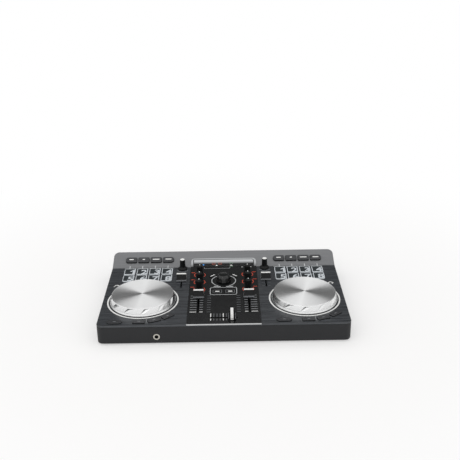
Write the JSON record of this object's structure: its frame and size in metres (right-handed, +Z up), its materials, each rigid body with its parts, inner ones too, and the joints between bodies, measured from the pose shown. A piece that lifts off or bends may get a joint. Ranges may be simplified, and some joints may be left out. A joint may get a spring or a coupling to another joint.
{
  "type": "dj controller",
  "caption": "Flat two-deck music controller with jog wheels, pads, press buttons, faders and knobs on a case with a raised rear strip.",
  "frame": {"origin": "middle of the part's box seen from above, at the underside of the rubber feet", "axes": "+X to the player's right, +Y to the rear, +Z up"},
  "size_m": [0.415, 0.2554, 0.0566],
  "materials": {
    "case_plastic": "fine moulded texture",
    "deck_panel": "dark brushed face, satin",
    "strip_grey": "grey brushed face, satin",
    "mixer_gloss": "polished black",
    "board": "green solder resist",
    "socket_metal": "nickel plated",
    "screw_steel": "black zinc",
    "foot_rubber": "matt",
    "jog_aluminium": "spun brushed top, polished side",
    "fader_plastic": "satin black with a white line",
    "knob_rubber": "soft-touch black",
    "button_plastic": "satin dark grey",
    "slant_plastic": "satin pale grey",
    "mode_plastic": "satin dark grey",
    "pad_rubber": "smooth silicone"
  },
  "bodies": {
    "case": {"bottom_case": "case_plastic", "deck_panel": "deck_panel", "rear_strip": "strip_grey", "mixer_fascia": "mixer_gloss", "circuit_board": "board", "sockets": "socket_metal", "case_screws": "screw_steel", "rubber_feet": "foot_rubber"},
    "left_jog_wheel": {"left_jog_wheel": "jog_aluminium"},
    "right_jog_wheel": {"right_jog_wheel": "jog_aluminium"},
    "left_tempo_fader": {"left_tempo_fader": "fader_plastic"},
    "right_tempo_fader": {"right_tempo_fader": "fader_plastic"},
    "left_volume_fader": {"left_volume_fader": "fader_plastic"},
    "right_volume_fader": {"right_volume_fader": "fader_plastic"},
    "crossfader": {"crossfader": "fader_plastic"},
    "browse_knob": {"browse_knob": "knob_rubber"},
    "left_tall_knob": {"left_tall_knob": "knob_rubber"},
    "right_tall_knob": {"right_tall_knob": "knob_rubber"},
    "left_eq_knob_1": {"left_eq_knob_1": "knob_rubber"},
    "left_eq_knob_2": {"left_eq_knob_2": "knob_rubber"},
    "left_eq_knob_3": {"left_eq_knob_3": "knob_rubber"},
    "right_eq_knob_1": {"right_eq_knob_1": "knob_rubber"},
    "right_eq_knob_2": {"right_eq_knob_2": "knob_rubber"},
    "right_eq_knob_3": {"right_eq_knob_3": "knob_rubber"},
    "left_load_button": {"left_load_button": "button_plastic"},
    "right_load_button": {"right_load_button": "button_plastic"},
    "left_slant_button": {"left_slant_button": "slant_plastic"},
    "right_slant_button": {"right_slant_button": "slant_plastic"},
    "left_transport_button_1": {"left_transport_button_1": "button_plastic"},
    "left_transport_button_2": {"left_transport_button_2": "button_plastic"},
    "left_transport_button_3": {"left_transport_button_3": "button_plastic"},
    "left_transport_button_4": {"left_transport_button_4": "button_plastic"},
    "right_transport_button_1": {"right_transport_button_1": "button_plastic"},
    "right_transport_button_2": {"right_transport_button_2": "button_plastic"},
    "right_transport_button_3": {"right_transport_button_3": "button_plastic"},
    "right_transport_button_4": {"right_transport_button_4": "button_plastic"},
    "left_mode_button_1": {"left_mode_button_1": "mode_plastic"},
    "left_mode_button_2": {"left_mode_button_2": "mode_plastic"},
    "left_mode_button_3": {"left_mode_button_3": "mode_plastic"},
    "left_mode_button_4": {"left_mode_button_4": "mode_plastic"},
    "right_mode_button_1": {"right_mode_button_1": "mode_plastic"},
    "right_mode_button_2": {"right_mode_button_2": "mode_plastic"},
    "right_mode_button_3": {"right_mode_button_3": "mode_plastic"},
    "right_mode_button_4": {"right_mode_button_4": "mode_plastic"},
    "left_pad_1": {"left_pad_1": "pad_rubber"},
    "left_pad_2": {"left_pad_2": "pad_rubber"},
    "left_pad_3": {"left_pad_3": "pad_rubber"},
    "left_pad_4": {"left_pad_4": "pad_rubber"},
    "left_pad_5": {"left_pad_5": "pad_rubber"},
    "left_pad_6": {"left_pad_6": "pad_rubber"},
    "left_pad_7": {"left_pad_7": "pad_rubber"},
    "left_pad_8": {"left_pad_8": "pad_rubber"},
    "right_pad_1": {"right_pad_1": "pad_rubber"},
    "right_pad_2": {"right_pad_2": "pad_rubber"},
    "right_pad_3": {"right_pad_3": "pad_rubber"},
    "right_pad_4": {"right_pad_4": "pad_rubber"},
    "right_pad_5": {"right_pad_5": "pad_rubber"},
    "right_pad_6": {"right_pad_6": "pad_rubber"},
    "right_pad_7": {"right_pad_7": "pad_rubber"},
    "right_pad_8": {"right_pad_8": "pad_rubber"}
  },
  "joints": [
    {"name": "left_jog_wheel_turn", "type": "hinge", "parent": "case", "child": "left_jog_wheel", "pos_m": [-0.1385, -0.0447, 0.036], "axis": [0, 0, 1], "continuous": true},
    {"name": "right_jog_wheel_turn", "type": "hinge", "parent": "case", "child": "right_jog_wheel", "pos_m": [0.1385, -0.0447, 0.036], "axis": [0, 0, 1], "continuous": true},
    {"name": "left_tempo_fader_slide", "type": "slide", "parent": "case", "child": "left_tempo_fader", "axis": [0, 1, 0], "range_m": [-0.025, 0.025]},
    {"name": "right_tempo_fader_slide", "type": "slide", "parent": "case", "child": "right_tempo_fader", "axis": [0, 1, 0], "range_m": [-0.025, 0.025]},
    {"name": "left_volume_fader_slide", "type": "slide", "parent": "case", "child": "left_volume_fader", "axis": [0, 1, 0], "range_m": [-0.051, 0.006]},
    {"name": "right_volume_fader_slide", "type": "slide", "parent": "case", "child": "right_volume_fader", "axis": [0, 1, 0], "range_m": [-0.051, 0.006]},
    {"name": "crossfader_slide", "type": "slide", "parent": "case", "child": "crossfader", "axis": [1, 0, 0], "range_m": [-0.0333, 0.0067]},
    {"name": "browse_knob_turn", "type": "hinge", "parent": "case", "child": "browse_knob", "pos_m": [0, 0.0207, 0.036], "axis": [0, 0, 1], "continuous": true},
    {"name": "left_tall_knob_turn", "type": "hinge", "parent": "case", "child": "left_tall_knob", "pos_m": [-0.0758, 0.0708, 0.036], "axis": [0, 0, 1], "range_deg": [-150, 150]},
    {"name": "right_tall_knob_turn", "type": "hinge", "parent": "case", "child": "right_tall_knob", "pos_m": [0.0758, 0.0708, 0.036], "axis": [0, 0, 1], "range_deg": [-150, 150]},
    {"name": "left_eq_knob_1_turn", "type": "hinge", "parent": "case", "child": "left_eq_knob_1", "pos_m": [-0.0432, 0.0461, 0.036], "axis": [0, 0, 1], "range_deg": [-150, 150]},
    {"name": "left_eq_knob_2_turn", "type": "hinge", "parent": "case", "child": "left_eq_knob_2", "pos_m": [-0.0432, 0.0183, 0.036], "axis": [0, 0, 1], "range_deg": [-150, 150]},
    {"name": "left_eq_knob_3_turn", "type": "hinge", "parent": "case", "child": "left_eq_knob_3", "pos_m": [-0.0432, -0.0095, 0.036], "axis": [0, 0, 1], "range_deg": [-150, 150]},
    {"name": "right_eq_knob_1_turn", "type": "hinge", "parent": "case", "child": "right_eq_knob_1", "pos_m": [0.0432, 0.0461, 0.036], "axis": [0, 0, 1], "range_deg": [-150, 150]},
    {"name": "right_eq_knob_2_turn", "type": "hinge", "parent": "case", "child": "right_eq_knob_2", "pos_m": [0.0432, 0.0183, 0.036], "axis": [0, 0, 1], "range_deg": [-150, 150]},
    {"name": "right_eq_knob_3_turn", "type": "hinge", "parent": "case", "child": "right_eq_knob_3", "pos_m": [0.0432, -0.0095, 0.036], "axis": [0, 0, 1], "range_deg": [-150, 150]},
    {"name": "left_load_button_press", "type": "slide", "parent": "case", "child": "left_load_button", "axis": [0, 0, -1], "range_m": [0, 0.0009], "stiffness_N_per_m": 300, "springref_m": -0.001},
    {"name": "right_load_button_press", "type": "slide", "parent": "case", "child": "right_load_button", "axis": [0, 0, -1], "range_m": [0, 0.0009], "stiffness_N_per_m": 300, "springref_m": -0.001},
    {"name": "left_slant_button_press", "type": "slide", "parent": "case", "child": "left_slant_button", "axis": [0, 0, -1], "range_m": [0, 0.0009], "stiffness_N_per_m": 300, "springref_m": -0.001},
    {"name": "right_slant_button_press", "type": "slide", "parent": "case", "child": "right_slant_button", "axis": [0, 0, -1], "range_m": [0, 0.0009], "stiffness_N_per_m": 300, "springref_m": -0.001},
    {"name": "left_transport_button_1_press", "type": "slide", "parent": "case", "child": "left_transport_button_1", "axis": [0, 0, -1], "range_m": [0, 0.0009], "stiffness_N_per_m": 300, "springref_m": -0.001},
    {"name": "left_transport_button_2_press", "type": "slide", "parent": "case", "child": "left_transport_button_2", "axis": [0, 0, -1], "range_m": [0, 0.0009], "stiffness_N_per_m": 300, "springref_m": -0.001},
    {"name": "left_transport_button_3_press", "type": "slide", "parent": "case", "child": "left_transport_button_3", "axis": [0, 0, -1], "range_m": [0, 0.0009], "stiffness_N_per_m": 300, "springref_m": -0.001},
    {"name": "left_transport_button_4_press", "type": "slide", "parent": "case", "child": "left_transport_button_4", "axis": [0, 0, -1], "range_m": [0, 0.0009], "stiffness_N_per_m": 300, "springref_m": -0.001},
    {"name": "right_transport_button_1_press", "type": "slide", "parent": "case", "child": "right_transport_button_1", "axis": [0, 0, -1], "range_m": [0, 0.0009], "stiffness_N_per_m": 300, "springref_m": -0.001},
    {"name": "right_transport_button_2_press", "type": "slide", "parent": "case", "child": "right_transport_button_2", "axis": [0, 0, -1], "range_m": [0, 0.0009], "stiffness_N_per_m": 300, "springref_m": -0.001},
    {"name": "right_transport_button_3_press", "type": "slide", "parent": "case", "child": "right_transport_button_3", "axis": [0, 0, -1], "range_m": [0, 0.0009], "stiffness_N_per_m": 300, "springref_m": -0.001},
    {"name": "right_transport_button_4_press", "type": "slide", "parent": "case", "child": "right_transport_button_4", "axis": [0, 0, -1], "range_m": [0, 0.0009], "stiffness_N_per_m": 300, "springref_m": -0.001},
    {"name": "left_mode_button_1_press", "type": "slide", "parent": "case", "child": "left_mode_button_1", "axis": [0, 0.3502, -0.9367], "range_m": [0, 0.0009], "stiffness_N_per_m": 300, "springref_m": -0.001},
    {"name": "left_mode_button_2_press", "type": "slide", "parent": "case", "child": "left_mode_button_2", "axis": [0, 0.3502, -0.9367], "range_m": [0, 0.0009], "stiffness_N_per_m": 300, "springref_m": -0.001},
    {"name": "left_mode_button_3_press", "type": "slide", "parent": "case", "child": "left_mode_button_3", "axis": [0, 0.3502, -0.9367], "range_m": [0, 0.0009], "stiffness_N_per_m": 300, "springref_m": -0.001},
    {"name": "left_mode_button_4_press", "type": "slide", "parent": "case", "child": "left_mode_button_4", "axis": [0, 0.3502, -0.9367], "range_m": [0, 0.0009], "stiffness_N_per_m": 300, "springref_m": -0.001},
    {"name": "right_mode_button_1_press", "type": "slide", "parent": "case", "child": "right_mode_button_1", "axis": [0, 0.3502, -0.9367], "range_m": [0, 0.0009], "stiffness_N_per_m": 300, "springref_m": -0.001},
    {"name": "right_mode_button_2_press", "type": "slide", "parent": "case", "child": "right_mode_button_2", "axis": [0, 0.3502, -0.9367], "range_m": [0, 0.0009], "stiffness_N_per_m": 300, "springref_m": -0.001},
    {"name": "right_mode_button_3_press", "type": "slide", "parent": "case", "child": "right_mode_button_3", "axis": [0, 0.3502, -0.9367], "range_m": [0, 0.0009], "stiffness_N_per_m": 300, "springref_m": -0.001},
    {"name": "right_mode_button_4_press", "type": "slide", "parent": "case", "child": "right_mode_button_4", "axis": [0, 0.3502, -0.9367], "range_m": [0, 0.0009], "stiffness_N_per_m": 300, "springref_m": -0.001},
    {"name": "left_pad_1_press", "type": "slide", "parent": "case", "child": "left_pad_1", "axis": [0, 0, -1], "range_m": [0, 0.0009], "stiffness_N_per_m": 300, "springref_m": -0.001},
    {"name": "left_pad_2_press", "type": "slide", "parent": "case", "child": "left_pad_2", "axis": [0, 0, -1], "range_m": [0, 0.0009], "stiffness_N_per_m": 300, "springref_m": -0.001},
    {"name": "left_pad_3_press", "type": "slide", "parent": "case", "child": "left_pad_3", "axis": [0, 0, -1], "range_m": [0, 0.0009], "stiffness_N_per_m": 300, "springref_m": -0.001},
    {"name": "left_pad_4_press", "type": "slide", "parent": "case", "child": "left_pad_4", "axis": [0, 0, -1], "range_m": [0, 0.0009], "stiffness_N_per_m": 300, "springref_m": -0.001},
    {"name": "left_pad_5_press", "type": "slide", "parent": "case", "child": "left_pad_5", "axis": [0, 0, -1], "range_m": [0, 0.0009], "stiffness_N_per_m": 300, "springref_m": -0.001},
    {"name": "left_pad_6_press", "type": "slide", "parent": "case", "child": "left_pad_6", "axis": [0, 0, -1], "range_m": [0, 0.0009], "stiffness_N_per_m": 300, "springref_m": -0.001},
    {"name": "left_pad_7_press", "type": "slide", "parent": "case", "child": "left_pad_7", "axis": [0, 0, -1], "range_m": [0, 0.0009], "stiffness_N_per_m": 300, "springref_m": -0.001},
    {"name": "left_pad_8_press", "type": "slide", "parent": "case", "child": "left_pad_8", "axis": [0, 0, -1], "range_m": [0, 0.0009], "stiffness_N_per_m": 300, "springref_m": -0.001},
    {"name": "right_pad_1_press", "type": "slide", "parent": "case", "child": "right_pad_1", "axis": [0, 0, -1], "range_m": [0, 0.0009], "stiffness_N_per_m": 300, "springref_m": -0.001},
    {"name": "right_pad_2_press", "type": "slide", "parent": "case", "child": "right_pad_2", "axis": [0, 0, -1], "range_m": [0, 0.0009], "stiffness_N_per_m": 300, "springref_m": -0.001},
    {"name": "right_pad_3_press", "type": "slide", "parent": "case", "child": "right_pad_3", "axis": [0, 0, -1], "range_m": [0, 0.0009], "stiffness_N_per_m": 300, "springref_m": -0.001},
    {"name": "right_pad_4_press", "type": "slide", "parent": "case", "child": "right_pad_4", "axis": [0, 0, -1], "range_m": [0, 0.0009], "stiffness_N_per_m": 300, "springref_m": -0.001},
    {"name": "right_pad_5_press", "type": "slide", "parent": "case", "child": "right_pad_5", "axis": [0, 0, -1], "range_m": [0, 0.0009], "stiffness_N_per_m": 300, "springref_m": -0.001},
    {"name": "right_pad_6_press", "type": "slide", "parent": "case", "child": "right_pad_6", "axis": [0, 0, -1], "range_m": [0, 0.0009], "stiffness_N_per_m": 300, "springref_m": -0.001},
    {"name": "right_pad_7_press", "type": "slide", "parent": "case", "child": "right_pad_7", "axis": [0, 0, -1], "range_m": [0, 0.0009], "stiffness_N_per_m": 300, "springref_m": -0.001},
    {"name": "right_pad_8_press", "type": "slide", "parent": "case", "child": "right_pad_8", "axis": [0, 0, -1], "range_m": [0, 0.0009], "stiffness_N_per_m": 300, "springref_m": -0.001}
  ]
}
